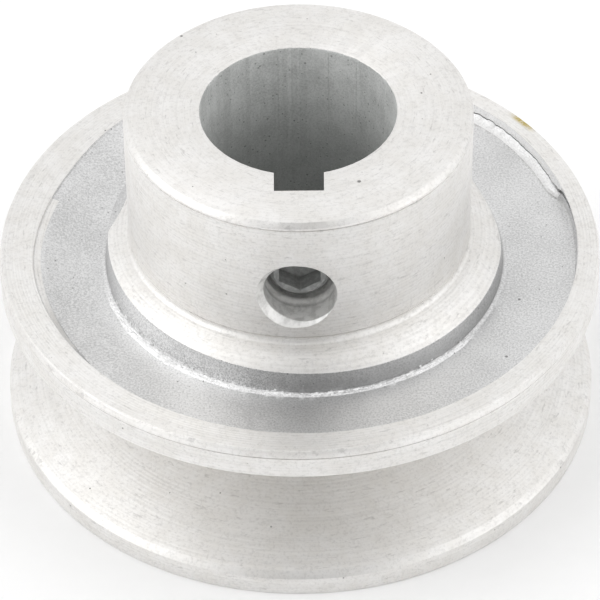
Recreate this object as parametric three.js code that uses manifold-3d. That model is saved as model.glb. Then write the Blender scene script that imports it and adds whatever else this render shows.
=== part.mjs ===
// Single-groove V-belt pulley with a long hub, a keyed bore and one set screw.
// Millimetres. +Z is the pulley's axis, towards the hub's nose. The origin is on the axis, in the
// plane of the lower rim face. The keyway and the set screw are on the -Y side.
import * as THREE from "three";
import { mergeVertices } from "three/addons/utils/BufferGeometryUtils.js";
import Module from "manifold-3d";

// Rim and belt groove.
const RIM_RADIUS = 30;
const RIM_WIDTH = 19.5;
const RIM_EDGE_RADIAL = 0.25;
const RIM_EDGE_AXIAL = 0.7;
const LOWER_EDGE = 0.25;
const GROOVE_EDGE = 0.6;
const LOWER_LAND_TOP = 2.1;
const UPPER_LAND_BOTTOM = 16.4;
const GROOVE_ROOT_RADIUS = 17.6;
const FLANK_SLOPE = Math.tan(THREE.MathUtils.degToRad(17));

// Hub, from the turned ledge at its foot to its nose.
const HUB_RADIUS = 17;
const HUB_TOP = 36.5;
const HUB_EDGE = 0.5;
const HUB_FOOT_FILLET = 0.55;
const LEDGE_HEIGHT = 21.5;
const LEDGE_REACH = 20.6;
const LEDGE_SLOPE = 0.287;
const LEDGE_ROUNDING = 0.046;
const LEDGE_STEPS = 4;

// Cast ring recess between the hub and the rim, on the hub's side. The casting sits a little off
// the turned axis, so this ring has a centre of its own.
const CAST_CENTRE_X = 0.5;
const CAST_CENTRE_Y = -0.5;
const CAST_DRAFT = Math.tan(THREE.MathUtils.degToRad(6));
const WEB_TOP = 18;
const STUB_FOOT_RADIUS = 19.9;
const RECESS_FLOOR_RADIUS = 27.1;

// Shallow cast ring recess in the lower face.
const LOWER_RECESS_DEPTH = 1.5;
const LOWER_BOSS_RADIUS = 16;
const LOWER_RECESS_RADIUS = 26;

// Bore, keyway and set-screw hole.
const BORE_RADIUS = 9.525;
const BORE_EDGE = 0.15;
const KEYWAY_WIDTH = 4.76;
const KEYWAY_FLOOR = 12;
const SCREW_AXIS_HEIGHT = 27.45;
const SCREW_HOLE_RADIUS = 3.4;
const COUNTERSINK_RADIUS = 3.95;

// Set screw, run in until its tip stands just short of the bore.
const SCREW_RADIUS = 3.1;
const SCREW_LENGTH = 4;
const SCREW_TIP_RADIUS = 2.3;
const SCREW_END_EDGE = 0.5;
const SCREW_TIP_REACH = 9.65;
const HEX_ACROSS_FLATS = 4;
const HEX_DEPTH = 2;

// Facets round each kind of surface, and how far a cutter runs past what it cuts.
const RIM_SEGMENTS = 72;
const HOLE_SEGMENTS = 24;
const FILLET_STEPS = 4;
const OVERRUN = 1;

const CAST_ALUMINIUM = { color: 0xd6d5d2, roughness: 0.45, metalness: 0.9 };
const BLACK_STEEL = { color: 0x2c2c2e, roughness: 0.5, metalness: 0.8 };

const wasm = await Module();
wasm.setup();

// A closed outline of [radius, height] points, turned round the Z axis.
function turned(outline, segments) {
  const points = outline.map(([radius, height]) => new THREE.Vector2(radius, height));
  const geometry = new THREE.LatheGeometry(points, segments);
  geometry.rotateX(Math.PI / 2);
  return geometry;
}

// A quarter of a circle about a [radius, height] centre, anticlockwise from startAngle.
function quarterArc(centre, radius, startAngle) {
  return Array.from({ length: FILLET_STEPS + 1 }, (_, step) => {
    const angle = startAngle + (step / FILLET_STEPS) * (Math.PI / 2);
    return [centre[0] + radius * Math.cos(angle), centre[1] + radius * Math.sin(angle)];
  });
}

function solidOf(geometry) {
  geometry.deleteAttribute("normal");
  geometry.deleteAttribute("uv");
  const merged = mergeVertices(geometry, 1e-4);
  return new wasm.Manifold(
    new wasm.Mesh({
      numProp: 3,
      vertProperties: merged.attributes.position.array,
      triVerts: new Uint32Array(merged.index.array),
    }),
  );
}

function meshOf(name, solid, look) {
  const { vertProperties, triVerts } = solid.getMesh();
  const geometry = new THREE.BufferGeometry();
  geometry.setAttribute("position", new THREE.BufferAttribute(vertProperties, 3));
  geometry.setIndex(new THREE.BufferAttribute(triVerts, 1));
  geometry.computeVertexNormals();
  const mesh = new THREE.Mesh(geometry, new THREE.MeshStandardMaterial(look));
  mesh.name = name;
  return mesh;
}

// The rounded ledge, from its outer end in to the fillet. It falls more and more steeply outwards.
function ledgeProfile() {
  const innerRadius = HUB_RADIUS + HUB_FOOT_FILLET;
  return Array.from({ length: LEDGE_STEPS }, (_, step) => {
    const across = (1 - step / LEDGE_STEPS) * (LEDGE_REACH - innerRadius);
    return [innerRadius + across, LEDGE_HEIGHT - across * (LEDGE_SLOPE + LEDGE_ROUNDING * across)];
  });
}

// The turned blank: bore, lower face, rim with its V groove, rim face, ledge and hub.
function turnedBlank() {
  const cornerRadius = RIM_RADIUS - GROOVE_EDGE;
  const flankRise = (cornerRadius - GROOVE_ROOT_RADIUS) * FLANK_SLOPE;
  const lowerCorner = LOWER_LAND_TOP + GROOVE_EDGE;
  const upperCorner = UPPER_LAND_BOTTOM - GROOVE_EDGE;
  const filletCentre = [HUB_RADIUS + HUB_FOOT_FILLET, LEDGE_HEIGHT + HUB_FOOT_FILLET];
  const outline = [
    [BORE_RADIUS, BORE_EDGE],
    [BORE_RADIUS + BORE_EDGE, 0],
    [RIM_RADIUS - LOWER_EDGE, 0],
    [RIM_RADIUS, LOWER_EDGE],
    [RIM_RADIUS, LOWER_LAND_TOP],
    [cornerRadius, lowerCorner],
    [GROOVE_ROOT_RADIUS, lowerCorner + flankRise],
    [GROOVE_ROOT_RADIUS, upperCorner - flankRise],
    [cornerRadius, upperCorner],
    [RIM_RADIUS, UPPER_LAND_BOTTOM],
    [RIM_RADIUS, RIM_WIDTH - RIM_EDGE_AXIAL],
    [RIM_RADIUS - RIM_EDGE_RADIAL, RIM_WIDTH],
    [LEDGE_REACH, RIM_WIDTH],
    ...ledgeProfile(),
    ...quarterArc(filletCentre, HUB_FOOT_FILLET, Math.PI).reverse(),
    [HUB_RADIUS, HUB_TOP - HUB_EDGE],
    [HUB_RADIUS - HUB_EDGE, HUB_TOP],
    [BORE_RADIUS + BORE_EDGE, HUB_TOP],
    [BORE_RADIUS, HUB_TOP - BORE_EDGE],
    [BORE_RADIUS, BORE_EDGE],
  ];
  return solidOf(turned(outline, RIM_SEGMENTS));
}

// The recess ring on the hub's side: it leaves the drafted stub under the ledge standing.
function castRecess() {
  const top = LEDGE_HEIGHT + OVERRUN;
  const draftAtTop = (top - WEB_TOP) * CAST_DRAFT;
  const outline = [
    [STUB_FOOT_RADIUS, WEB_TOP],
    [RECESS_FLOOR_RADIUS, WEB_TOP],
    [RECESS_FLOOR_RADIUS + draftAtTop, top],
    [STUB_FOOT_RADIUS - draftAtTop, top],
    [STUB_FOOT_RADIUS, WEB_TOP],
  ];
  const ring = turned(outline, RIM_SEGMENTS);
  ring.translate(CAST_CENTRE_X, CAST_CENTRE_Y, 0);
  return solidOf(ring);
}

function lowerRecess() {
  const draft = (LOWER_RECESS_DEPTH + OVERRUN) * CAST_DRAFT;
  const outline = [
    [LOWER_BOSS_RADIUS - draft, -OVERRUN],
    [LOWER_RECESS_RADIUS + draft, -OVERRUN],
    [LOWER_RECESS_RADIUS, LOWER_RECESS_DEPTH],
    [LOWER_BOSS_RADIUS, LOWER_RECESS_DEPTH],
    [LOWER_BOSS_RADIUS - draft, -OVERRUN],
  ];
  return solidOf(turned(outline, RIM_SEGMENTS));
}

function keyway() {
  const height = HUB_TOP + 2 * OVERRUN;
  const slot = new THREE.BoxGeometry(KEYWAY_WIDTH, KEYWAY_FLOOR, height);
  slot.translate(0, -KEYWAY_FLOOR / 2, HUB_TOP / 2);
  return solidOf(slot);
}

// A shape turned round Z and then laid along -Y, with height 0 on the pulley's axis.
function alongScrewAxis(geometry) {
  geometry.rotateX(Math.PI / 2);
  geometry.translate(0, 0, SCREW_AXIS_HEIGHT);
  return solidOf(geometry);
}

function screwHole() {
  const sink = COUNTERSINK_RADIUS - SCREW_HOLE_RADIUS;
  const outline = [
    [0, 0],
    [SCREW_HOLE_RADIUS, 0],
    [SCREW_HOLE_RADIUS, HUB_RADIUS - sink],
    [COUNTERSINK_RADIUS + OVERRUN, HUB_RADIUS + OVERRUN],
    [0, HUB_RADIUS + OVERRUN],
  ];
  return alongScrewAxis(turned(outline, HOLE_SEGMENTS));
}

function pulleyBody() {
  const solid = turnedBlank()
    .subtract(castRecess())
    .subtract(lowerRecess())
    .subtract(keyway())
    .subtract(screwHole());
  return meshOf("pulley_body", solid, CAST_ALUMINIUM);
}

function setScrew() {
  const tip = SCREW_TIP_REACH;
  const end = SCREW_TIP_REACH + SCREW_LENGTH;
  const tipEdge = SCREW_RADIUS - SCREW_TIP_RADIUS;
  const outline = [
    [0, tip],
    [SCREW_TIP_RADIUS, tip],
    [SCREW_RADIUS, tip + tipEdge],
    [SCREW_RADIUS, end - SCREW_END_EDGE],
    [SCREW_RADIUS - SCREW_END_EDGE, end],
    [0, end],
  ];
  const hexCorner = HEX_ACROSS_FLATS / Math.sqrt(3);
  const socket = new THREE.CylinderGeometry(hexCorner, hexCorner, HEX_DEPTH + OVERRUN, 6);
  socket.rotateX(Math.PI / 2);
  socket.translate(0, 0, end + (OVERRUN - HEX_DEPTH) / 2);
  const shank = alongScrewAxis(turned(outline, HOLE_SEGMENTS));
  return meshOf("set_screw", shank.subtract(alongScrewAxis(socket)), BLACK_STEEL);
}

const pulley = new THREE.Group();
pulley.add(pulleyBody(), setScrew());

export default pulley;
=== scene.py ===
import math

import bpy
import numpy as np
from mathutils import Matrix, Vector, noise


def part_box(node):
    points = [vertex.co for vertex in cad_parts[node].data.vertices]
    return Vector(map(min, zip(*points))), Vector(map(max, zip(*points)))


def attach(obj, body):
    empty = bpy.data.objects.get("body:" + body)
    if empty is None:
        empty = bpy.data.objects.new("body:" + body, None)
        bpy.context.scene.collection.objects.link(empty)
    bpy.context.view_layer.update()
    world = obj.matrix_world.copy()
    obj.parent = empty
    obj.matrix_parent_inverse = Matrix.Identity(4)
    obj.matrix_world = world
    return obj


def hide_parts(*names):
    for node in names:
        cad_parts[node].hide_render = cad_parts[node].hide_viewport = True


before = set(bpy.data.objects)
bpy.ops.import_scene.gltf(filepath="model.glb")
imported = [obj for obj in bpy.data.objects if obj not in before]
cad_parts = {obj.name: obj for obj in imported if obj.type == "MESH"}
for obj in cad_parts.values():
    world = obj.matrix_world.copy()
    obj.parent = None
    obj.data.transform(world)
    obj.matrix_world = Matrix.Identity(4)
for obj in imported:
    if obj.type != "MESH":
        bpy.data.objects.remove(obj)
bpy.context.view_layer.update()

MM = 0.001
body_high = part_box("pulley_body")[1] / MM
screw_low, screw_high = (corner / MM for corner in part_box("set_screw"))

# Rim and belt groove.
RIM_RADIUS = body_high.x
RIM_TOP = 19.5
RIM_EDGE_RADIAL = 0.25
RIM_EDGE_AXIAL = 0.7
LOWER_EDGE = 0.25
LOWER_LAND_TOP = 2.1
GROOVE_EDGE = 0.6
GROOVE_MIDDLE = 9.25
UPPER_LAND_FOOT = 2 * GROOVE_MIDDLE - LOWER_LAND_TOP
GROOVE_ROOT_RADIUS = 17.6
GROOVE_ROOT_FILLET = 1
FLANK_ANGLE = math.radians(17)
LAND_RIDGE_PITCH = 0.28
LAND_RIDGE_DEPTH = 0.02

# Hub, from the turned ledge at its foot to its nose.
HUB_RADIUS = 17
HUB_TOP = body_high.z
HUB_EDGE = 0.52
HUB_FOOT_FILLET = 0.55
LEDGE_TOP = 21.5
LEDGE_SLOPE = 0.2
LEDGE_ROUNDING = 0.1
LEDGE_RIDGE_PITCH = 0.27
LEDGE_RIDGE_HEIGHT = 0.022
LEDGE_RIDGES_START = 18.9
SCRIBED_DEPTH = 0.12
SCRIBED_WIDTH = 0.16

# Cast ring between the hub and the rim. Its inner and outer walls have centres of their own, a
# little off the turned axis.
WEB_TOP = 18
CAST_DRAFT = 0.105
STUB_RADIUS = 19.9
STUB_CENTRE = (0.5, -0.45)
RECESS_RADIUS = 27.3
RECESS_CENTRE = (0.5, 0)

# Cast ring in the lower face.
LOWER_RECESS_DEPTH = 1.5
LOWER_BOSS_RADIUS = 16
LOWER_RECESS_RADIUS = 26
LOWER_FILLET = 0.3

# Bore, keyway and tapped hole.
BORE_RADIUS = 9.525
BORE_EDGE = 0.15
KEYWAY_WIDTH = 4.76
KEYWAY_FLOOR = 12
THREAD_PITCH = 1.41
HOLE_HEIGHT = (screw_low.z + screw_high.z) / 2
HOLE_CREST = 3.28
HOLE_ROOT = 3.44
SINK_MOUTH = 3.95
SINK_WIDER = 0.3
SINK_SHIFT = 0.4

# Set screw, measured from the pulley's axis along -Y.
SCREW_TIP = -screw_high.y
SCREW_END = -screw_low.y
SCREW_CREST = 3.05
SCREW_ROOT = 2.4
SCREW_TIP_RADIUS = 2.3
SCREW_CUP_RADIUS = 1.7
SCREW_CUP_DEPTH = 0.6
SCREW_CHAMFER = 0.5
HEX_ACROSS_FLATS = 4
HEX_DEPTH = 2
HEX_CHAMFER = 0.2

# Marks on the casting, by azimuth.
STAIN_AZIMUTH = math.radians(38)
SCUFF_AZIMUTH = math.radians(232)

# Colours of the cut metal, which is a little warm.
PALE_METAL = (0.84, 0.825, 0.8)
BRIGHT_METAL = (0.89, 0.88, 0.865)

# Camera, round the middle of the upper rim face, with distances in rim radii.
CAMERA_DISTANCE = 11.843
CAMERA_ELEVATION = math.radians(41.74)
CAMERA_PITCH = math.radians(42.7)
CAMERA_ROLL = -0.009285
CAMERA_LENS = 213.1

# Brightness of the light tent: its roof, the panels above left, right and back, its walls, and the
# walls' ends beside the opening in front. Widths and elevations are in degrees.
ROOF_LEVEL = 0.6
LEFT_LEVEL = 1.5
RIGHT_LEVEL = 1
BACK_LEVEL = 0.5
WALL_LEVEL = 0.7
WALL_END_LEVEL = 1.2
ROOF_HALF_WIDTH = 30
PANEL_HALF_WIDTH = 25
PANEL_ELEVATION = 50
WALL_ELEVATION = 12

# Finishes of the pulley's faces, in the order of its material slots.
TURNED, CAST, BORED, TAPPED, TORN_AND_PAINTED_LIT = range(5)
SHARP_ANGLE = math.radians(24)

# How many steps each mesh takes round its axis.
PULLEY_STEPS = 540
HOLE_STEPS = 72
SCREW_STEPS = 96

THETA = np.linspace(0, 2 * math.pi, PULLEY_STEPS, endpoint=False)
COS = np.cos(THETA)
SIN = np.sin(THETA)


# ---------------------------------------------------------------- shapes round the axis

def smooth(value):
    value = np.clip(value, 0, 1)
    return value * value * (3 - 2 * value)


def away_from(azimuth):
    """Degrees from an azimuth to each azimuth of THETA, from 0 to 180."""
    return np.abs((np.degrees(THETA) - azimuth + 180) % 360 - 180)


def around(azimuth, reach):
    """1 at an azimuth, falling smoothly to 0 at reach degrees from it."""
    return smooth(1 - away_from(azimuth) / reach)


def between(start, end, soft):
    """1 from one azimuth to another, falling smoothly to 0 over soft degrees past each."""
    half = (end - start) / 2
    return smooth(1 - (away_from(start + half) - half) / soft)


def off_centre(radius, centre):
    """Distance from the axis, round THETA, of a circle whose centre is off the axis."""
    along = centre[0] * COS + centre[1] * SIN
    across = centre[1] * COS - centre[0] * SIN
    return along + np.sqrt(radius**2 - across**2)


def lumps(radius, height, size, seed):
    """Smooth noise from -1 to 1 along a row round the axis, with lumps of about that size."""
    start = Vector((31.7, 11.3, 5.1)) * seed
    across = (radius + 0 * THETA) / size
    up = (height + 0 * THETA) / size
    points = zip(across * COS, across * SIN, up)
    return np.array([noise.noise(Vector(point) + start) for point in points])


def arc(centre, radius, start, end, steps):
    """Points of an arc between two angles in degrees, both ends included."""
    angles = np.radians(np.linspace(start, end, steps + 1))
    return [(centre[0] + radius * math.cos(a), centre[1] + radius * math.sin(a)) for a in angles]


def cast_row(radius, height, out_radius, out_height, depth=0.02):
    """A row moved along a direction by the grain of the casting."""
    grain = lumps(radius, height, 1.3, 1) + 0.7 * lumps(radius, height, 0.45, 2)
    grain = depth * (grain + 0.5 * lumps(radius, height, 0.22, 3))
    return radius + out_radius * grain, height + out_height * grain


# ---------------------------------------------------------------- the pulley's section
# Each function yields (radius, height, finish) rows, from the bore's foot out round the rim and
# back over the hub. A row's finish is that of the strip between it and the next row.

def lower_side():
    yield BORE_RADIUS, BORE_EDGE, TURNED
    yield BORE_RADIUS + BORE_EDGE, 0, TURNED
    depth = LOWER_RECESS_DEPTH
    inner = LOWER_BOSS_RADIUS
    outer = LOWER_RECESS_RADIUS
    draft = depth * CAST_DRAFT
    jag = 0.06 * lumps(inner, 0, 1.2, 4)
    yield inner - draft + jag, 0, CAST
    for radius, height in arc((inner + LOWER_FILLET, depth - LOWER_FILLET), LOWER_FILLET, 180, 90, 3):
        yield (*cast_row(radius, height, 0, 1), CAST)
    for radius in np.linspace(inner + 2 * LOWER_FILLET, outer - 2 * LOWER_FILLET, 8):
        yield (*cast_row(radius, depth, 0, 1, 0.05), CAST)
    for radius, height in arc((outer - LOWER_FILLET, depth - LOWER_FILLET), LOWER_FILLET, 90, 0, 3):
        yield (*cast_row(radius, height, 0, 1), CAST)
    yield outer + draft + 0.06 * lumps(outer, 0, 1.2, 5), 0, TURNED
    yield RIM_RADIUS - LOWER_EDGE, 0, TURNED
    yield RIM_RADIUS - 0.3 * LOWER_EDGE, 0.3 * LOWER_EDGE, TURNED


def groove():
    corner = RIM_RADIUS - GROOVE_EDGE
    lower_corner = LOWER_LAND_TOP + GROOVE_EDGE
    fillet = GROOVE_ROOT_FILLET
    reach = corner - GROOVE_ROOT_RADIUS - fillet
    rise = (fillet + reach * math.sin(FLANK_ANGLE)) / math.cos(FLANK_ANGLE)
    centre = (GROOVE_ROOT_RADIUS + fillet, lower_corner + rise)
    flank_end = -90 - math.degrees(FLANK_ANGLE)
    soft = 0.05
    lower_half = [
        (RIM_RADIUS, LOWER_EDGE),
        (RIM_RADIUS, LOWER_LAND_TOP - soft),
        (RIM_RADIUS - 0.4 * soft, LOWER_LAND_TOP + 0.6 * soft),
        (corner + 0.6 * soft, lower_corner - 0.4 * soft),
        (corner - soft, lower_corner + soft * math.tan(FLANK_ANGLE)),
        *arc(centre, fillet, flank_end, -180, 6),
    ]
    for radius, height in lower_half:
        yield radius, height, TURNED
    for radius, height in reversed(lower_half[1:]):
        yield radius, 2 * GROOVE_MIDDLE - height, TURNED


def rim_top():
    soft = 0.05
    edge_foot = RIM_TOP - RIM_EDGE_AXIAL
    for height in np.arange(UPPER_LAND_FOOT + 0.1, edge_foot - 0.25, LAND_RIDGE_PITCH):
        yield RIM_RADIUS, height, TURNED
        yield RIM_RADIUS - LAND_RIDGE_DEPTH, height + 0.45 * LAND_RIDGE_PITCH, TURNED
        yield RIM_RADIUS - LAND_RIDGE_DEPTH, height + 0.65 * LAND_RIDGE_PITCH, TURNED
    yield from scribed_line(RIM_RADIUS, edge_foot - soft - SCRIBED_WIDTH)
    yield RIM_RADIUS - 0.3 * soft, edge_foot + soft, TURNED
    yield RIM_RADIUS - RIM_EDGE_RADIAL + 0.03, RIM_TOP - 0.14, TURNED
    yield RIM_RADIUS - RIM_EDGE_RADIAL - 0.03, RIM_TOP - 0.1, TURNED
    yield RIM_RADIUS - RIM_EDGE_RADIAL - 0.04, RIM_TOP - 0.03, TURNED
    yield RIM_RADIUS - RIM_EDGE_RADIAL - 0.09, RIM_TOP, TURNED


def recess_outline():
    """Radius of the rim face's inner edge. It comes in where the ring is shallow."""
    edge = off_centre(RECESS_RADIUS, RECESS_CENTRE)
    edge = edge - 0.9 * around(155, 40) + 0.3 * around(42, 30)
    return edge + 0.05 * lumps(RECESS_RADIUS, 0, 3, 6) + 0.03 * lumps(RECESS_RADIUS, 0, 0.6, 7)


def web_rise():
    """How far the web's outer edge stands above WEB_TOP. The casting is tilted in the chuck."""
    return 1.15 * between(135, 185, 45)


def wall_foot():
    """Radius of the cast wall's foot. The wall leans more on the far side, and on the near left it
    runs out into a shallow slope."""
    return recess_outline() - 0.08 - 0.95 * between(20, 75, 7) - 0.7 * between(112, 215, 20)


def recess_wall():
    """The rim face's torn inner edge, the seam under it, and the cast wall down to the web. On the back
    right the wall and the strip under the edge wear the torn finish as a painted highlight.
    """
    edge = recess_outline()
    foot = wall_foot()
    left = between(172, 206, 15)
    seamless = between(112, 215, 20)
    back_right = between(20, 75, 7)
    gape = around(14, 9)
    ragged = lumps(RECESS_RADIUS, 0, 0.5, 8) + 0.6 * lumps(RECESS_RADIUS, 0, 0.2, 18)
    web = WEB_TOP + web_rise()
    depth = RIM_TOP - web
    lip = edge - 0.03 - 0.1 * seamless - 0.28 * back_right
    drop = 0.09 + (0.5 + 0.22 * ragged) * back_right + 0.12 * seamless + 0.03 * ragged
    seam_top = RIM_TOP - np.minimum(drop, 0.45 * depth)
    seam_height = (0.09 + 0.5 * gape + 0.04 * ragged) * (1 - seamless) + 0.01
    seam_height = np.minimum(seam_height, 0.25 * depth)
    seam_depth = (0.35 + 0.5 * gape) * (1 - seamless) + 0.01
    # Painted highlight: on the back right the cast wall and the strip under the rim's edge take the pale
    # torn finish; on the near left the strip is turned.
    wall_finish_painted_lit = np.where(left > 0.5, TURNED, np.where(back_right > 0.3, TORN_AND_PAINTED_LIT, CAST))
    yield edge, RIM_TOP, TURNED
    yield edge - 0.02, RIM_TOP - 0.03, wall_finish_painted_lit
    yield lip, seam_top, np.where(left > 0.5, TURNED, CAST)
    yield lip + seam_depth, seam_top - 0.35 * seam_height, CAST
    yield lip + 0.8 * seam_depth, seam_top - 0.8 * seam_height, CAST
    yield lip - 0.04, seam_top - seam_height, wall_finish_painted_lit
    for step in (0.35, 0.7):
        radius = lip + (foot - lip) * step
        height = seam_top - seam_height + (web + 0.2 * depth - seam_top + seam_height) * step
        yield (*cast_row(radius, height, -1, 0), wall_finish_painted_lit)
    yield (*cast_row(foot, web + 0.1 * depth, -0.7, 0.7), CAST)
    yield (*cast_row(foot - 0.12, web + 0.01, 0, 1), CAST)


def stub_outline():
    """Radius of the stub's foot, which the casting left short on the far side."""
    return off_centre(STUB_RADIUS, STUB_CENTRE) - 0.85 * between(20, 130, 30)


def burr_strength():
    """How proud the torn ring at the web's inner edge stands, round THETA."""
    strength = between(201, 318, 9) * (0.75 + 0.55 * around(228, 34))
    return strength * (0.85 + 0.35 * lumps(STUB_RADIUS, 0, 2.5, 9))


def web_and_burr():
    wall = stub_outline()
    strength = burr_strength()
    burr_width = 0.45 + 0.3 * strength
    start = wall_foot() - 0.25
    end = wall + burr_width
    rise = web_rise()
    for step in np.linspace(0, 1, 14):
        radius = start + (end - start) * step
        height = WEB_TOP + rise * (1 - step) ** 2
        near = strength * smooth(1 - (radius - end) / 1.6)
        specks = 0.09 * near * np.maximum(lumps(radius, 0, 0.3, 10), 0)
        radius, height = cast_row(radius, height + specks, 0, 1)
        yield radius, height, CAST
    for step in np.linspace(0.1, 1, 9):
        radius = end + (wall - end) * step
        torn = 1 + 0.7 * lumps(radius, step, 0.3, 11) + 0.7 * lumps(radius, step, 0.13, 12)
        height = WEB_TOP + 0.17 * strength * math.sin(math.pi * step) ** 0.6 * torn
        needed = 0.52 + 0.9 * abs(step - 0.45)
        finish = np.where(strength * torn > needed, TORN_AND_PAINTED_LIT, CAST)
        yield radius, height + 0.16 * step**2, finish


def ledge_height(radius):
    """Height of the turned ledge, which falls more and more steeply outwards."""
    across = radius - HUB_RADIUS - HUB_FOOT_FILLET
    return LEDGE_TOP - across * (LEDGE_SLOPE + LEDGE_ROUNDING * across)


def ledge_edge():
    """Radius at which the stub's drafted wall meets the ledge, round THETA."""
    wall = stub_outline()
    edge = wall
    for _ in range(4):
        edge = wall - CAST_DRAFT * (ledge_height(edge) - WEB_TOP)
    return edge


def stub_and_ledge():
    edge = ledge_edge()
    top = ledge_height(edge)
    for step in np.linspace(0.15, 1, 6):
        height = WEB_TOP + (top - WEB_TOP) * step
        radius = stub_outline() - CAST_DRAFT * (height - WEB_TOP)
        yield (*cast_row(radius, height, 1, 0, 0.03 * smooth(5 - 5 * step)), CAST)
    patch = 2.6 * between(95, 168, 26) - 0.1 * lumps(LEDGE_RIDGES_START, 0, 0.8, 17)
    turned_reach = STUB_RADIUS + 0.65 - patch
    inner = HUB_RADIUS + HUB_FOOT_FILLET
    for step in np.linspace(0.985, 0.03, 30):
        radius = inner + (edge - inner) * step
        scallop = np.abs(np.sin(math.pi * (edge - radius) / LEDGE_RIDGE_PITCH)) - 1
        ridge = LEDGE_RIDGE_HEIGHT * smooth((radius - LEDGE_RIDGES_START) / 0.5)
        finish = np.where(radius > turned_reach, CAST, TURNED)
        yield radius, ledge_height(radius) + ridge * scallop, finish


def scribed_line(radius, height):
    """A fine turned line round a cylinder, going up."""
    for inward, share in ((0, 0), (1, 0.3), (1, 0.7), (0, 1)):
        yield radius - inward * SCRIBED_DEPTH, height + share * SCRIBED_WIDTH, TURNED


def hub():
    centre = (HUB_RADIUS + HUB_FOOT_FILLET, LEDGE_TOP + HUB_FOOT_FILLET)
    for radius, height in arc(centre, HUB_FOOT_FILLET, -90, -180, 7):
        yield radius, height, TURNED
    yield from scribed_line(HUB_RADIUS, centre[1] + 0.06)
    edge_foot = HUB_TOP - HUB_EDGE
    yield from scribed_line(HUB_RADIUS, edge_foot - 0.3)
    jag = 0.03 * lumps(HUB_RADIUS, 0, 1.5, 13) + 0.02 * lumps(HUB_RADIUS, 0, 0.4, 14)
    yield HUB_RADIUS, edge_foot - 0.02, TURNED
    yield HUB_RADIUS - 0.03, edge_foot + 0.06, TURNED
    yield HUB_RADIUS - HUB_EDGE + 0.06, HUB_TOP - 0.04, TURNED
    yield HUB_RADIUS - HUB_EDGE - 0.06 + jag, HUB_TOP, TURNED


def bore():
    back = between(30, 150, 25)
    ragged = lumps(BORE_RADIUS, 0, 0.5, 15) + 0.6 * lumps(BORE_RADIUS, 0, 0.22, 16)
    burr = np.maximum(ragged, -0.3) * (0.015 + 0.07 * back)
    yield BORE_RADIUS + BORE_EDGE + 0.05 + 0.5 * burr, HUB_TOP, TURNED
    yield BORE_RADIUS + 0.5 * BORE_EDGE + burr, HUB_TOP - 0.35 * BORE_EDGE, BORED
    yield BORE_RADIUS, HUB_TOP - 1.6 * BORE_EDGE - 2 * np.abs(burr), BORED


def pulley_rows():
    for part in (lower_side, groove, rim_top, recess_wall, web_and_burr, stub_and_ledge, hub, bore):
        yield from part()


# ---------------------------------------------------------------- the tapped hole and the screw

def thread_wave(angles, height):
    """0 in a thread's root and 1 on its crest, for an outside thread, at one height."""
    turn = (height / THREAD_PITCH - angles / (2 * math.pi)) % 1
    return np.clip(1.5 * (1 - np.abs(2 * turn - 1)) - 0.25, 0, 1)


def hole_rows(angles):
    """The tapped hole's cutter: a threaded plug that opens into the countersink."""
    wider = SINK_WIDER * np.abs(np.cos(angles)) - SINK_SHIFT * np.cos(angles)
    for height in np.arange(KEYWAY_FLOOR - 4, HUB_RADIUS + 1, 0.08):
        crest = thread_wave(angles, height)
        radius = HOLE_CREST + (HOLE_ROOT - HOLE_CREST) * crest
        depth = HUB_RADIUS - height
        lead = HOLE_CREST + 0.24 - 0.1 * (depth - 0.75)
        cone = np.maximum(SINK_MOUTH + wider - depth, lead)
        yield np.maximum(radius, cone), height, TAPPED


def hexagon(angles, across_flats):
    """Radius of a hexagon round the angles."""
    sixth = math.pi / 3
    return across_flats / 2 / np.cos((angles + sixth / 2) % sixth - sixth / 2)


def screw_rows(angles):
    yield 0.25 + 0 * angles, SCREW_TIP + SCREW_CUP_DEPTH, 0
    yield SCREW_CUP_RADIUS + 0 * angles, SCREW_TIP + 0.06, 0
    yield SCREW_CUP_RADIUS + 0.1 + 0 * angles, SCREW_TIP, 0
    yield SCREW_TIP_RADIUS - 0.06 + 0 * angles, SCREW_TIP, 0
    for height in np.arange(SCREW_TIP + 0.08, SCREW_END - 0.04, 0.07):
        radius = SCREW_ROOT + (SCREW_CREST - SCREW_ROOT) * thread_wave(angles, height)
        tip_cone = SCREW_TIP_RADIUS + height - SCREW_TIP
        end_cone = SCREW_CREST - SCREW_CHAMFER + (SCREW_END - height)
        yield np.minimum(radius, np.minimum(tip_cone, end_cone)), height, 0
    mouth = HEX_ACROSS_FLATS / math.sqrt(3) + 0.05
    yield SCREW_CREST - SCREW_CHAMFER - 0.05 + 0 * angles, SCREW_END, 0
    yield mouth + 0.03 + 0 * angles, SCREW_END, 0
    yield mouth - 0.02 + 0 * angles, SCREW_END - 0.05, 0
    socket = hexagon(angles, HEX_ACROSS_FLATS)
    yield np.minimum(socket, mouth), SCREW_END - HEX_CHAMFER, 0
    yield socket, SCREW_END - HEX_DEPTH, 0
    yield 0.9 * socket, SCREW_END - HEX_DEPTH, 0
    yield 0.25 + 0 * angles, SCREW_END - HEX_DEPTH - 0.4, 0


# ---------------------------------------------------------------- meshes

def upright(radius, angles, height):
    """Points round the pulley's axis."""
    return radius * np.cos(angles), radius * np.sin(angles), height + 0 * angles


def sideways(radius, angles, height):
    """Points round the tapped hole's axis, with height measured along -Y."""
    return radius * np.cos(angles), -height + 0 * angles, HOLE_HEIGHT + radius * np.sin(angles)


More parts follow.
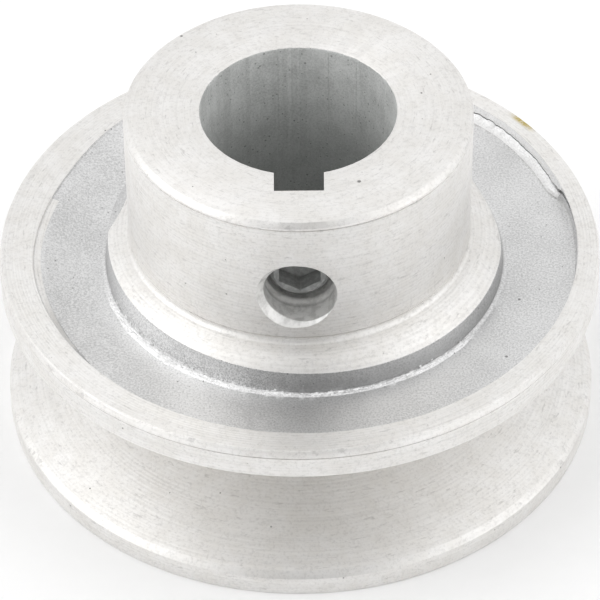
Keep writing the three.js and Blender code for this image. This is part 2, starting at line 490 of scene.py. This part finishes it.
def lathe(name, rows, angles, place, closed):
    """A mesh through rows round an axis. A closed one joins its last row to its first, and an
    open one ends in a point at each end."""
    rows = list(rows)
    count = len(angles)
    points = np.concatenate([np.stack(place(r, angles, h), axis=1) for r, h, _ in rows]).tolist()
    faces = []
    finishes = []
    strips = len(rows) if closed else len(rows) - 1
    for strip in range(strips):
        here = strip * count
        there = (strip + 1) % len(rows) * count
        for step in range(count):
            following = (step + 1) % count
            faces.append((here + step, here + following, there + following, there + step))
        finishes += (rows[strip][2] + np.zeros(count, int)).tolist()
    if not closed:
        last = (len(rows) - 1) * count
        for first, flip in ((0, False), (last, True)):
            centre = len(points)
            points.append(np.mean(points[first:first + count], axis=0).tolist())
            for step in range(count):
                following = (step + 1) % count
                pair = (first + step, first + following) if flip else (first + following, first + step)
                faces.append((*pair, centre))
            finishes += [rows[0][2]] * count
    mesh = bpy.data.meshes.new(name)
    mesh.from_pydata(points, [], faces)
    mesh.polygons.foreach_set("material_index", finishes)
    return new_object(name, mesh)


def box_mesh(name, low, high):
    spans = list(zip(low, high))
    corners = [(x, y, z) for z in spans[2] for y in spans[1] for x in spans[0]]
    sides = [(0, 2, 3, 1), (4, 5, 7, 6), (0, 1, 5, 4), (2, 6, 7, 3), (0, 4, 6, 2), (1, 3, 7, 5)]
    mesh = bpy.data.meshes.new(name)
    mesh.from_pydata(corners, [], sides)
    mesh.polygons.foreach_set("material_index", [BORED] * len(sides))
    return new_object(name, mesh)


def new_object(name, mesh):
    made = bpy.data.objects.new(name, mesh)
    bpy.context.scene.collection.objects.link(made)
    return made


def cut(body, cutters):
    """Takes the cutters out of the body. The cut faces keep the cutters' finishes."""
    for cutter in cutters:
        modifier = body.modifiers.new("cut", "BOOLEAN")
        modifier.object = cutter
        modifier.operation = "DIFFERENCE"
        modifier.solver = "MANIFOLD"
    depsgraph = bpy.context.evaluated_depsgraph_get()
    finished = bpy.data.meshes.new_from_object(body.evaluated_get(depsgraph))
    body.modifiers.clear()
    body.data = finished
    for cutter in cutters:
        bpy.data.objects.remove(cutter)


def finish_mesh(piece):
    """Scales a mesh from millimetres to metres and shades it smooth between sharp edges."""
    mesh = piece.data
    mesh.transform(Matrix.Scale(MM, 4))
    mesh.polygons.foreach_set("use_smooth", [True] * len(mesh.polygons))
    mesh.set_sharp_from_angle(angle=SHARP_ANGLE)
    mesh.update()


def set_materials(piece, materials):
    for material in materials:
        piece.data.materials.append(material)


# ---------------------------------------------------------------- materials

def new_material(name):
    material = bpy.data.materials.new(name)
    material.use_nodes = True
    return material, material.node_tree, material.node_tree.nodes["Principled BSDF"]


def add(tree, kind, inputs=None, **settings):
    """A new node. An input is a number, a colour or another node's output."""
    node = tree.nodes.new("ShaderNode" + kind)
    for name, value in settings.items():
        setattr(node, name, value)
    for key, value in (inputs or {}).items():
        if isinstance(value, bpy.types.NodeSocket):
            tree.links.new(value, node.inputs[key])
        else:
            node.inputs[key].default_value = value
    return node


def maths(tree, operation, first, second=0.0):
    return add(tree, "Math", {0: first, 1: second}, operation=operation).outputs[0]


def dot(tree, first, second):
    node = add(tree, "VectorMath", {0: first, 1: second}, operation="DOT_PRODUCT")
    return node.outputs["Value"]


def weighted(tree, first, first_share, second, second_share):
    first = maths(tree, "MULTIPLY", first, first_share)
    return maths(tree, "ADD", first, maths(tree, "MULTIPLY", second, second_share))


def rescale(tree, value, low, high, to_low, to_high):
    """value, taken from low..high to to_low..to_high with soft ends."""
    inputs = {"Value": value, "From Min": low, "From Max": high, "To Min": to_low, "To Max": to_high}
    return add(tree, "MapRange", inputs, interpolation_type="SMOOTHSTEP").outputs[0]


def grey(value):
    return value, value, value


def blend_colour(tree, share, first, second):
    node = add(tree, "Mix", {0: share}, data_type="RGBA")
    for socket, value in ((node.inputs[6], first), (node.inputs[7], second)):
        if isinstance(value, bpy.types.NodeSocket):
            tree.links.new(value, socket)
        else:
            socket.default_value = (*value, 1)
    return node.outputs[2]


def noise_at(tree, vector, scale, detail=2.0, roughness=0.5):
    inputs = {"Vector": vector, "Scale": scale, "Detail": detail, "Roughness": roughness}
    return add(tree, "TexNoise", inputs).outputs["Fac"]


class Place:
    """Coordinates on a piece, in millimetres: the point, its distance from the axis, and how far
    it is along the turned section."""

    def __init__(self, tree):
        coordinates = add(tree, "TexCoord").outputs["Object"]
        scaled = add(tree, "VectorMath", {0: coordinates, "Scale": 1 / MM}, operation="SCALE")
        self.point = scaled.outputs[0]
        split = add(tree, "SeparateXYZ", {0: self.point}).outputs
        self.x, self.y, self.z = split[0], split[1], split[2]
        flat = add(tree, "CombineXYZ", {0: self.x, 1: self.y}).outputs[0]
        self.radius = add(tree, "VectorMath", {0: flat}, operation="LENGTH").outputs["Value"]
        self.outward = add(tree, "VectorMath", {0: flat}, operation="NORMALIZE").outputs[0]
        self.along = maths(tree, "ADD", self.radius, maths(tree, "MULTIPLY", self.z, 0.73))

    def tool_lines(self, tree, per_mm, detail):
        """Noise that runs round the axis as fine lines, so many to the millimetre."""
        spread = add(tree, "VectorMath", {0: self.outward, "Scale": 1.3}, operation="SCALE").outputs[0]
        split = add(tree, "SeparateXYZ", {0: spread}).outputs
        stretched = maths(tree, "MULTIPLY", self.along, per_mm)
        vector = add(tree, "CombineXYZ", {0: split[0], 1: split[1], 2: stretched}).outputs[0]
        return noise_at(tree, vector, 1.0, detail, 0.6)

    def feed_marks(self, tree, pitch):
        """A wave of that pitch along the section, from -1 to 1, deeper in some bands than others."""
        inputs = {"W": self.along, "Scale": 0.9, "Detail": 2.0}
        band = add(tree, "TexNoise", inputs, noise_dimensions="1D").outputs["Fac"]
        drift = maths(tree, "MULTIPLY", band, 5.0)
        phase = maths(tree, "ADD", maths(tree, "MULTIPLY", self.along, 2 * math.pi / pitch), drift)
        worn = rescale(tree, noise_at(tree, self.point, 0.16, 2.0), 0.35, 0.6, 0.35, 1.0)
        worn = maths(tree, "MULTIPLY", worn, rescale(tree, self.z, HUB_TOP - 0.3, HUB_TOP, 1.0, 0.2))
        above_groove = rescale(tree, self.z, UPPER_LAND_FOOT - 0.5, UPPER_LAND_FOOT, 0.45, 1.0)
        worn = maths(tree, "MULTIPLY", worn, above_groove)
        return maths(tree, "MULTIPLY", maths(tree, "SINE", phase), worn)

    def scratches(self, tree, per_mm_round, per_mm_along):
        """1 in sparse short marks that run round the axis, 0 elsewhere."""
        flat = add(tree, "CombineXYZ", {0: self.x, 1: self.y}).outputs[0]
        spread = add(tree, "VectorMath", {0: flat, "Scale": per_mm_round}, operation="SCALE").outputs[0]
        lift = add(tree, "CombineXYZ", {2: maths(tree, "MULTIPLY", self.along, per_mm_along)}).outputs[0]
        vector = add(tree, "VectorMath", {0: spread, 1: lift}, operation="ADD").outputs[0]
        return rescale(tree, noise_at(tree, vector, 1.0, 3.0, 0.7), 0.6, 0.7, 0.0, 1.0)

    def gap_from(self, tree, centre):
        """Distance from an upright line through a point."""
        flat = add(tree, "CombineXYZ", {0: self.x, 1: self.y}).outputs[0]
        inputs = {0: flat, 1: (*centre, 0)}
        return add(tree, "VectorMath", inputs, operation="DISTANCE").outputs["Value"]

    def near(self, tree, centre, reach):
        """1 at a point, falling smoothly to 0 at reach millimetres from it."""
        inputs = {0: self.point, 1: centre}
        gap = add(tree, "VectorMath", inputs, operation="DISTANCE").outputs["Value"]
        return rescale(tree, gap, 0.3 * reach, reach, 1.0, 0.0)

    def pits(self, tree, per_mm, share, size):
        """1 in small round pits, 0 elsewhere. share is the part of the cells that have one."""
        inputs = {"Vector": self.point, "Scale": per_mm}
        cells = add(tree, "TexVoronoi", inputs)
        chance = add(tree, "SeparateColor", {0: cells.outputs["Color"]}).outputs[0]
        excess = maths(tree, "SUBTRACT", chance, 1 - share)
        reach = maths(tree, "MULTIPLY", excess, size * per_mm / share)
        reach = maths(tree, "MAXIMUM", reach, 0.0001)
        near = maths(tree, "DIVIDE", cells.outputs["Distance"], reach)
        inside = rescale(tree, near, 0.6, 1.1, 1.0, 0.0)
        chosen = maths(tree, "GREATER_THAN", chance, 1 - share)
        return maths(tree, "MULTIPLY", inside, chosen)


def bump(tree, height, micrometres):
    inputs = {"Height": height, "Distance": micrometres * 1e-6, "Strength": 1.0}
    return add(tree, "Bump", inputs).outputs[0]


def brush_round_axis(tree, shader, amount):
    """Stretches the gloss across lines that run round the axis."""
    shader.inputs["Anisotropic"].default_value = amount
    shader.inputs["Anisotropic Rotation"].default_value = 0.25
    tangent = add(tree, "Tangent", direction_type="RADIAL", axis="Z").outputs[0]
    tree.links.new(tangent, shader.inputs["Tangent"])


def turned_aluminium():
    """Satin turned metal: feed marks round the axis, specks, short scratches, pits and a stain."""
    material, tree, shader = new_material("turned_aluminium")
    place = Place(tree)
    fine = place.tool_lines(tree, 6.0, 3.0)
    feed = place.feed_marks(tree, 0.3)
    mottle = noise_at(tree, place.point, 0.35, 5.0, 0.7)
    speckle = noise_at(tree, place.point, 3.0, 4.0, 0.75)
    scratches = place.scratches(tree, 0.6, 3.2)
    pits = maths(tree, "MAXIMUM", place.pits(tree, 1.0, 0.12, 0.12), place.pits(tree, 0.35, 0.12, 0.24))
    colour = blend_colour(tree, rescale(tree, mottle, 0.35, 0.65, 0.0, 1.0), PALE_METAL, BRIGHT_METAL)
    colour = blend_colour(tree, rescale(tree, speckle, 0.34, 0.52, 0.22, 0.0), colour, (0.42, 0.41, 0.4))
    colour = blend_colour(tree, rescale(tree, fine, 0.3, 0.6, 0.12, 0.0), colour, (0.45, 0.44, 0.43))
    colour = blend_colour(tree, rescale(tree, feed, -1.0, 0.3, 0.08, 0.0), colour, (0.4, 0.39, 0.38))
    colour = blend_colour(tree, maths(tree, "MULTIPLY", scratches, 0.28), colour, (0.3, 0.29, 0.28))
    colour = blend_colour(tree, maths(tree, "MULTIPLY", pits, 0.8), colour, (0.16, 0.155, 0.15))
    stain_at = (RIM_RADIUS * math.cos(STAIN_AZIMUTH), RIM_RADIUS * math.sin(STAIN_AZIMUTH), RIM_TOP)
    outer = rescale(tree, place.radius, RIM_RADIUS - 1.1, RIM_RADIUS - 0.6, 0.0, 1.0)
    stained = maths(tree, "MULTIPLY", place.near(tree, stain_at, 2.3), outer)
    stained = maths(tree, "MULTIPLY", stained, rescale(tree, speckle, 0.4, 0.56, 0.4, 1.0))
    colour = blend_colour(tree, stained, colour, (0.5, 0.4, 0.14))
    height = maths(tree, "ADD", maths(tree, "MULTIPLY", feed, 0.5), maths(tree, "MULTIPLY", fine, 0.8))
    height = maths(tree, "ADD", height, maths(tree, "MULTIPLY", speckle, 0.8))
    height = maths(tree, "SUBTRACT", height, maths(tree, "MULTIPLY", pits, 4.0))
    tree.links.new(colour, shader.inputs["Base Color"])
    tree.links.new(rescale(tree, speckle, 0.3, 0.7, 0.52, 0.4), shader.inputs["Roughness"])
    tree.links.new(bump(tree, height, 9), shader.inputs["Normal"])
    shader.inputs["Metallic"].default_value = 1.0
    brush_round_axis(tree, shader, 0.6)
    return material


def cast_aluminium():
    """Grey, finely grained skin of the casting, with painted shade all round the stub that grows towards
    its foot, and scuffed almost white beside the torn ring."""
    material, tree, shader = new_material("cast_aluminium")
    place = Place(tree)
    grain = noise_at(tree, place.point, 5.0, 4.0, 0.75)
    patches = noise_at(tree, place.point, 0.12, 3.0, 0.5)
    specks = noise_at(tree, place.point, 6.5, 2.0, 0.6)
    pits = maths(tree, "MAXIMUM", place.pits(tree, 1.6, 0.3, 0.1), place.pits(tree, 0.6, 0.14, 0.18))
    mottle = weighted(tree, grain, 0.75, patches, 0.25)
    colour = blend_colour(tree, rescale(tree, mottle, 0.36, 0.6, 0.0, 1.0), grey(0.52), grey(0.78))
    scuffed = rescale(tree, specks, 0.38, 0.62, 0.1, 0.8)
    scuffed = maths(tree, "MULTIPLY", scuff_zone(tree, place), scuffed)
    # Painted shade: the stub's wall is darkened all round, most towards its foot by the web.
    gap = place.gap_from(tree, STUB_CENTRE)
    painted_stub_shade = rescale(tree, gap, STUB_RADIUS - 0.1, STUB_RADIUS + 0.2, 0.62, 0.0)
    painted_stub_shade = maths(tree, "MULTIPLY", painted_stub_shade, rescale(tree, place.z, WEB_TOP, LEDGE_TOP - 1, 1.0, 0.3))
    colour = blend_colour(tree, painted_stub_shade, colour, grey(0.3))
    colour = blend_colour(tree, scuffed, colour, grey(0.95))
    colour = blend_colour(tree, rescale(tree, specks, 0.66, 0.8, 0.0, 0.6), colour, grey(0.93))
    colour = blend_colour(tree, maths(tree, "MULTIPLY", pits, 0.75), colour, grey(0.14))
    height = maths(tree, "SUBTRACT", grain, maths(tree, "MULTIPLY", pits, 2.0))
    tree.links.new(colour, shader.inputs["Base Color"])
    tree.links.new(rescale(tree, grain, 0.3, 0.7, 0.46, 0.36), shader.inputs["Roughness"])
    tree.links.new(bump(tree, height, 12), shader.inputs["Normal"])
    shader.inputs["Metallic"].default_value = 1.0
    return material


def scuff_zone(tree, place):
    """1 beside the foot of the stub, on one side, falling to 0 away from it."""
    gap = place.gap_from(tree, STUB_CENTRE)
    close = rescale(tree, gap, STUB_RADIUS + 0.3, STUB_RADIUS + 2.8, 1.0, 0.0)
    side = (math.cos(SCUFF_AZIMUTH), math.sin(SCUFF_AZIMUTH), 0)
    facing = dot(tree, place.outward, side)
    return maths(tree, "MULTIPLY", close, rescale(tree, facing, 0.72, 0.97, 0.0, 1.0))


def torn_and_painted_lit_aluminium():
    """Bright metal dragged up by the tool, at the edge of what it cut. On the back right of the rim's
    cast wall it is a painted highlight.
    """
    material, tree, shader = new_material("torn_and_painted_lit_aluminium")
    place = Place(tree)
    grain = noise_at(tree, place.point, 5.5, 4.0, 0.7)
    colour = blend_colour(tree, rescale(tree, grain, 0.3, 0.55, 0.0, 1.0), grey(0.8), grey(0.98))
    tree.links.new(colour, shader.inputs["Base Color"])
    tree.links.new(rescale(tree, grain, 0.3, 0.7, 0.5, 0.28), shader.inputs["Roughness"])
    tree.links.new(bump(tree, grain, 60), shader.inputs["Normal"])
    shader.inputs["Metallic"].default_value = 0.5
    return material


def bored_aluminium():
    """Dull, finely porous wall of the bore and the keyway, with painted shade that darkens it further
    down.
    """
    material, tree, shader = new_material("bored_aluminium")
    place = Place(tree)
    grain = noise_at(tree, place.point, 5.0, 4.0, 0.75)
    patches = noise_at(tree, place.point, 0.35, 3.0, 0.6)
    porous = maths(tree, "MAXIMUM", place.pits(tree, 2.4, 0.4, 0.13), place.pits(tree, 1.3, 0.3, 0.16))
    mottle = rescale(tree, weighted(tree, grain, 0.65, patches, 0.35), 0.36, 0.62, 0.0, 1.0)
    colour = blend_colour(tree, mottle, (0.56, 0.57, 0.56), (0.78, 0.79, 0.78))
    # Painted shade: the wall is darkened towards the bottom of the bore.
    painted_depth_shade = rescale(tree, place.z, HUB_TOP - 15, HUB_TOP - 2, 0.5, 0.0)
    colour = blend_colour(tree, painted_depth_shade, colour, (0.3, 0.31, 0.3))
    colour = blend_colour(tree, maths(tree, "MULTIPLY", porous, 0.6), colour, (0.14, 0.145, 0.14))
    height = maths(tree, "SUBTRACT", grain, porous)
    tree.links.new(colour, shader.inputs["Base Color"])
    tree.links.new(rescale(tree, grain, 0.3, 0.7, 0.66, 0.5), shader.inputs["Roughness"])
    tree.links.new(bump(tree, height, 20), shader.inputs["Normal"])
    shader.inputs["Metallic"].default_value = 0.45
    return material


def tapped_aluminium():
    """Cut thread and countersink, with old cutting grime."""
    material, tree, shader = new_material("tapped_aluminium")
    place = Place(tree)
    grain = noise_at(tree, place.point, 5.0, 4.0, 0.65)
    grime = noise_at(tree, place.point, 1.2, 3.0, 0.6)
    grime = rescale(tree, grime, 0.4, 0.65, 0.0, 1.0)
    colour = blend_colour(tree, grime, (0.93, 0.925, 0.91), (0.72, 0.715, 0.7))
    tree.links.new(colour, shader.inputs["Base Color"])
    tree.links.new(rescale(tree, grain, 0.3, 0.7, 0.56, 0.42), shader.inputs["Roughness"])
    tree.links.new(bump(tree, grain, 20), shader.inputs["Normal"])
    shader.inputs["Metallic"].default_value = 0.7
    return material


def black_oxide():
    """Blackened steel, rubbed paler in places."""
    material, tree, shader = new_material("black_oxide")
    place = Place(tree)
    grain = noise_at(tree, place.point, 6.0, 4.0, 0.6)
    wear = noise_at(tree, place.point, 2.0, 3.0, 0.6)
    wear = rescale(tree, wear, 0.42, 0.62, 0.0, 1.0)
    colour = blend_colour(tree, wear, (0.3, 0.305, 0.3), (0.4, 0.405, 0.4))
    tree.links.new(colour, shader.inputs["Base Color"])
    tree.links.new(rescale(tree, grain, 0.3, 0.7, 0.72, 0.6), shader.inputs["Roughness"])
    tree.links.new(bump(tree, grain, 12), shader.inputs["Normal"])
    shader.inputs["Metallic"].default_value = 0.3
    return material


# ---------------------------------------------------------------- studio

def make_camera():
    data = bpy.data.cameras.new("camera")
    camera = bpy.data.objects.new("camera", data)
    bpy.context.scene.collection.objects.link(camera)
    away = Vector((0, -math.cos(CAMERA_ELEVATION), math.sin(CAMERA_ELEVATION)))
    place = Vector((0, 0, RIM_TOP)) + away * CAMERA_DISTANCE * RIM_RADIUS
    tilt = Matrix.Rotation(math.pi / 2 - CAMERA_PITCH, 4, "X")
    camera.matrix_world = Matrix.Translation(place * MM) @ tilt @ Matrix.Rotation(CAMERA_ROLL, 4, "Z")
    data.lens = CAMERA_LENS
    data.clip_start = 0.01
    bpy.context.scene.camera = camera


def panel(tree, direction, azimuth, elevation, half_width, brightness):
    """One soft-edged panel of the tent, half as bright at half_width from its middle."""
    flat = math.cos(math.radians(elevation))
    turn = math.radians(azimuth)
    towards = (flat * math.cos(turn), flat * math.sin(turn), math.sin(math.radians(elevation)))
    facing = dot(tree, direction, towards)
    falloff = math.log(2) / (1 - math.cos(math.radians(half_width)))
    off = maths(tree, "SUBTRACT", facing, 1.0)
    fall = maths(tree, "EXPONENT", maths(tree, "MULTIPLY", off, falloff))
    return maths(tree, "MULTIPLY", fall, brightness)


def make_tent():
    """A white light tent with its opening in front. Nothing is lit behind the camera."""
    world = bpy.data.worlds.new("tent")
    world.use_nodes = True
    bpy.context.scene.world = world
    tree = world.node_tree
    direction = add(tree, "TexCoord").outputs["Generated"]
    level = panel(tree, direction, 0, 90, ROOF_HALF_WIDTH, ROOF_LEVEL)
    upper = ((180, LEFT_LEVEL), (0, RIGHT_LEVEL), (90, BACK_LEVEL))
    panels = [(azimuth, PANEL_ELEVATION, brightness) for azimuth, brightness in upper]
    panels += [(azimuth, WALL_ELEVATION, WALL_END_LEVEL) for azimuth in (225, 315)]
    panels += [(azimuth, WALL_ELEVATION, WALL_LEVEL) for azimuth in range(0, 181, 45)]
    for azimuth, elevation, brightness in panels:
        made = panel(tree, direction, azimuth, elevation, PANEL_HALF_WIDTH, brightness)
        level = maths(tree, "ADD", level, made)
    background = tree.nodes["Background"]
    tree.links.new(level, background.inputs["Strength"])
    background.inputs["Color"].default_value = (1, 1, 1, 1)


def make_floor():
    """A plain pale floor."""
    reach = 3.0
    corners = [(-reach, -reach, 0), (reach, -reach, 0), (reach, reach, 0), (-reach, reach, 0)]
    mesh = bpy.data.meshes.new("floor")
    mesh.from_pydata(corners, [], [(0, 1, 2, 3)])
    material, tree, shader = new_material("pale_floor")
    grain = noise_at(tree, Place(tree).point, 0.5)
    colour = blend_colour(tree, grain, grey(0.9), grey(0.93))
    tree.links.new(colour, shader.inputs["Base Color"])
    shader.inputs["Roughness"].default_value = 0.9
    shader.inputs["Emission Color"].default_value = (1, 1, 1, 1)
    shader.inputs["Emission Strength"].default_value = 0.06
    mesh.materials.append(material)
    new_object("floor", mesh)


# ---------------------------------------------------------------- pieces

def make_pulley():
    body = lathe("turned_pulley", pulley_rows(), THETA, upright, closed=True)
    half = KEYWAY_WIDTH / 2
    keyway = box_mesh("keyway_cutter", (-half, -KEYWAY_FLOOR, -1), (half, 0, HUB_TOP + 1))
    angles = np.linspace(0, 2 * math.pi, HOLE_STEPS, endpoint=False)
    hole = lathe("hole_cutter", hole_rows(angles), angles, sideways, closed=False)
    makers = (turned_aluminium, cast_aluminium, bored_aluminium, tapped_aluminium, torn_and_painted_lit_aluminium)
    finishes = [make() for make in makers]
    for piece in (body, keyway, hole):
        set_materials(piece, finishes)
    cut(body, [keyway, hole])
    finish_mesh(body)
    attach(body, "pulley")
    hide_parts("pulley_body")


def make_screw():
    angles = np.linspace(0, 2 * math.pi, SCREW_STEPS, endpoint=False)
    screw = lathe("cup_point_screw", screw_rows(angles), angles, sideways, closed=False)
    set_materials(screw, [black_oxide()])
    finish_mesh(screw)
    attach(screw, "screw")
    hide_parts("set_screw")


make_camera()
make_tent()
make_floor()
make_pulley()
make_screw()
bpy.context.scene.view_settings.view_transform = "Standard"
